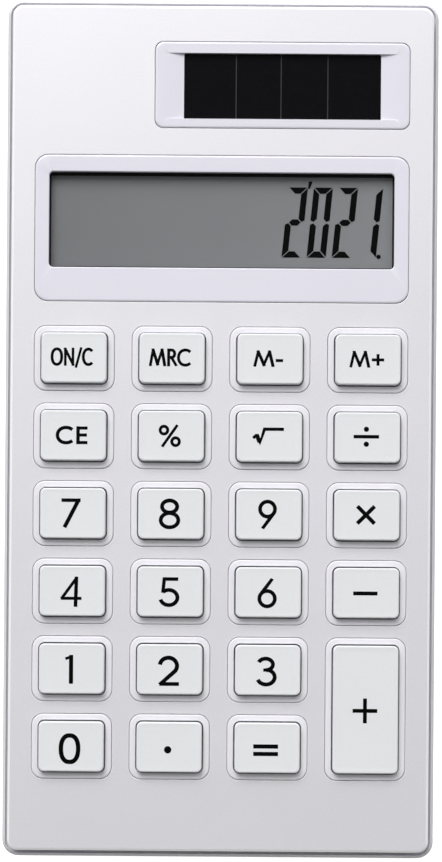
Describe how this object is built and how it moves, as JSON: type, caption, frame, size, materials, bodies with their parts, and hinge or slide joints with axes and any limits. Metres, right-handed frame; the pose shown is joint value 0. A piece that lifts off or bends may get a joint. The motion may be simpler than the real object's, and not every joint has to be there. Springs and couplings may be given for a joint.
{
  "type": "pocket calculator",
  "caption": "Slim pocket calculator with a metal face plate, hard keys that press down, a recessed display, a solar cell and a battery cover that slides off.",
  "frame": {"origin": "centre of the footprint, on the surface that the rubber feet stand on", "axes": "+X to the right across the keys as read, +Y towards the display end, +Z out of the key face; the calculator lies on its back"},
  "size_m": [0.0608, 0.1206, 0.01],
  "materials": {
    "white_plastic": "fine satin moulded ABS",
    "trim_plastic": "gloss, faintly lavender white",
    "key_plastic": "satin moulded ABS with printed legends",
    "plate_metal": "bead-blasted and anodised, bright edge",
    "clear_acrylic": "clear, polished",
    "black_foam": "matte foam",
    "polariser_film": "smooth film",
    "lcd_glass": "polished",
    "reflector_film": "satin metallised film",
    "grey_silicone": "matte",
    "solar_glass": "near-black amorphous silicon under glass",
    "red_insulation": "smooth",
    "black_insulation": "smooth",
    "board_laminate": "solder resist",
    "black_epoxy": "poured",
    "capacitor_body": "moulded",
    "cell_steel": "nickel-plated",
    "spring_metal": "plated spring strip",
    "screw_steel": "zinc-plated",
    "silicone": "moulded silicone",
    "foot_rubber": "matte"
  },
  "bodies": {
    "case": {"rear_housing": "white_plastic", "front_housing": "white_plastic", "face_plate": "plate_metal", "display_surround": "trim_plastic", "solar_frame": "trim_plastic", "display_window": "clear_acrylic", "display_gasket": "black_foam", "lcd_polariser": "polariser_film", "lcd_front_glass": "lcd_glass", "lcd_rear_glass": "lcd_glass", "lcd_reflector": "reflector_film", "zebra_connector": "grey_silicone", "solar_cell": "solar_glass", "solar_lead_positive": "red_insulation", "solar_lead_negative": "black_insulation", "circuit_board": "board_laminate", "controller_chip": "black_epoxy", "capacitor": "capacitor_body", "key_mat": "silicone", "button_cell": "cell_steel", "battery_contact_negative": "spring_metal", "battery_contact_positive": "spring_metal", "case_screw_1": "screw_steel", "board_screw_1": "screw_steel", "rubber_foot_1": "foot_rubber", "case_screw_2": "screw_steel", "board_screw_2": "screw_steel", "rubber_foot_2": "foot_rubber", "case_screw_3": "screw_steel", "board_screw_3": "screw_steel", "rubber_foot_3": "foot_rubber", "case_screw_4": "screw_steel", "board_screw_4": "screw_steel", "rubber_foot_4": "foot_rubber"},
    "battery_cover": {"battery_cover": "white_plastic"},
    "key_on_clear": {"key_on_clear": "key_plastic"},
    "key_memory_recall": {"key_memory_recall": "key_plastic"},
    "key_memory_minus": {"key_memory_minus": "key_plastic"},
    "key_memory_plus": {"key_memory_plus": "key_plastic"},
    "key_clear_entry": {"key_clear_entry": "key_plastic"},
    "key_percent": {"key_percent": "key_plastic"},
    "key_square_root": {"key_square_root": "key_plastic"},
    "key_divide": {"key_divide": "key_plastic"},
    "key_7": {"key_7": "key_plastic"},
    "key_8": {"key_8": "key_plastic"},
    "key_9": {"key_9": "key_plastic"},
    "key_multiply": {"key_multiply": "key_plastic"},
    "key_4": {"key_4": "key_plastic"},
    "key_5": {"key_5": "key_plastic"},
    "key_6": {"key_6": "key_plastic"},
    "key_minus": {"key_minus": "key_plastic"},
    "key_1": {"key_1": "key_plastic"},
    "key_2": {"key_2": "key_plastic"},
    "key_3": {"key_3": "key_plastic"},
    "key_plus": {"key_plus": "key_plastic"},
    "key_0": {"key_0": "key_plastic"},
    "key_decimal": {"key_decimal": "key_plastic"},
    "key_equals": {"key_equals": "key_plastic"}
  },
  "joints": [
    {"name": "battery_cover_slide", "type": "slide", "parent": "case", "child": "battery_cover", "axis": [0, 1, 0], "range_m": [0, 0.021]},
    {"name": "key_on_clear_press", "type": "slide", "parent": "case", "child": "key_on_clear", "axis": [0, 0, -1], "range_m": [0, 0.0007], "stiffness_N_per_m": 500, "springref_m": -0.0004, "deforming": ["key_mat"]},
    {"name": "key_memory_recall_press", "type": "slide", "parent": "case", "child": "key_memory_recall", "axis": [0, 0, -1], "range_m": [0, 0.0007], "stiffness_N_per_m": 500, "springref_m": -0.0004, "deforming": ["key_mat"]},
    {"name": "key_memory_minus_press", "type": "slide", "parent": "case", "child": "key_memory_minus", "axis": [0, 0, -1], "range_m": [0, 0.0007], "stiffness_N_per_m": 500, "springref_m": -0.0004, "deforming": ["key_mat"]},
    {"name": "key_memory_plus_press", "type": "slide", "parent": "case", "child": "key_memory_plus", "axis": [0, 0, -1], "range_m": [0, 0.0007], "stiffness_N_per_m": 500, "springref_m": -0.0004, "deforming": ["key_mat"]},
    {"name": "key_clear_entry_press", "type": "slide", "parent": "case", "child": "key_clear_entry", "axis": [0, 0, -1], "range_m": [0, 0.0007], "stiffness_N_per_m": 500, "springref_m": -0.0004, "deforming": ["key_mat"]},
    {"name": "key_percent_press", "type": "slide", "parent": "case", "child": "key_percent", "axis": [0, 0, -1], "range_m": [0, 0.0007], "stiffness_N_per_m": 500, "springref_m": -0.0004, "deforming": ["key_mat"]},
    {"name": "key_square_root_press", "type": "slide", "parent": "case", "child": "key_square_root", "axis": [0, 0, -1], "range_m": [0, 0.0007], "stiffness_N_per_m": 500, "springref_m": -0.0004, "deforming": ["key_mat"]},
    {"name": "key_divide_press", "type": "slide", "parent": "case", "child": "key_divide", "axis": [0, 0, -1], "range_m": [0, 0.0007], "stiffness_N_per_m": 500, "springref_m": -0.0004, "deforming": ["key_mat"]},
    {"name": "key_7_press", "type": "slide", "parent": "case", "child": "key_7", "axis": [0, 0, -1], "range_m": [0, 0.0007], "stiffness_N_per_m": 500, "springref_m": -0.0004, "deforming": ["key_mat"]},
    {"name": "key_8_press", "type": "slide", "parent": "case", "child": "key_8", "axis": [0, 0, -1], "range_m": [0, 0.0007], "stiffness_N_per_m": 500, "springref_m": -0.0004, "deforming": ["key_mat"]},
    {"name": "key_9_press", "type": "slide", "parent": "case", "child": "key_9", "axis": [0, 0, -1], "range_m": [0, 0.0007], "stiffness_N_per_m": 500, "springref_m": -0.0004, "deforming": ["key_mat"]},
    {"name": "key_multiply_press", "type": "slide", "parent": "case", "child": "key_multiply", "axis": [0, 0, -1], "range_m": [0, 0.0007], "stiffness_N_per_m": 500, "springref_m": -0.0004, "deforming": ["key_mat"]},
    {"name": "key_4_press", "type": "slide", "parent": "case", "child": "key_4", "axis": [0, 0, -1], "range_m": [0, 0.0007], "stiffness_N_per_m": 500, "springref_m": -0.0004, "deforming": ["key_mat"]},
    {"name": "key_5_press", "type": "slide", "parent": "case", "child": "key_5", "axis": [0, 0, -1], "range_m": [0, 0.0007], "stiffness_N_per_m": 500, "springref_m": -0.0004, "deforming": ["key_mat"]},
    {"name": "key_6_press", "type": "slide", "parent": "case", "child": "key_6", "axis": [0, 0, -1], "range_m": [0, 0.0007], "stiffness_N_per_m": 500, "springref_m": -0.0004, "deforming": ["key_mat"]},
    {"name": "key_minus_press", "type": "slide", "parent": "case", "child": "key_minus", "axis": [0, 0, -1], "range_m": [0, 0.0007], "stiffness_N_per_m": 500, "springref_m": -0.0004, "deforming": ["key_mat"]},
    {"name": "key_1_press", "type": "slide", "parent": "case", "child": "key_1", "axis": [0, 0, -1], "range_m": [0, 0.0007], "stiffness_N_per_m": 500, "springref_m": -0.0004, "deforming": ["key_mat"]},
    {"name": "key_2_press", "type": "slide", "parent": "case", "child": "key_2", "axis": [0, 0, -1], "range_m": [0, 0.0007], "stiffness_N_per_m": 500, "springref_m": -0.0004, "deforming": ["key_mat"]},
    {"name": "key_3_press", "type": "slide", "parent": "case", "child": "key_3", "axis": [0, 0, -1], "range_m": [0, 0.0007], "stiffness_N_per_m": 500, "springref_m": -0.0004, "deforming": ["key_mat"]},
    {"name": "key_plus_press", "type": "slide", "parent": "case", "child": "key_plus", "axis": [0, 0, -1], "range_m": [0, 0.0007], "stiffness_N_per_m": 500, "springref_m": -0.0004, "deforming": ["key_mat"]},
    {"name": "key_0_press", "type": "slide", "parent": "case", "child": "key_0", "axis": [0, 0, -1], "range_m": [0, 0.0007], "stiffness_N_per_m": 500, "springref_m": -0.0004, "deforming": ["key_mat"]},
    {"name": "key_decimal_press", "type": "slide", "parent": "case", "child": "key_decimal", "axis": [0, 0, -1], "range_m": [0, 0.0007], "stiffness_N_per_m": 500, "springref_m": -0.0004, "deforming": ["key_mat"]},
    {"name": "key_equals_press", "type": "slide", "parent": "case", "child": "key_equals", "axis": [0, 0, -1], "range_m": [0, 0.0007], "stiffness_N_per_m": 500, "springref_m": -0.0004, "deforming": ["key_mat"]}
  ]
}
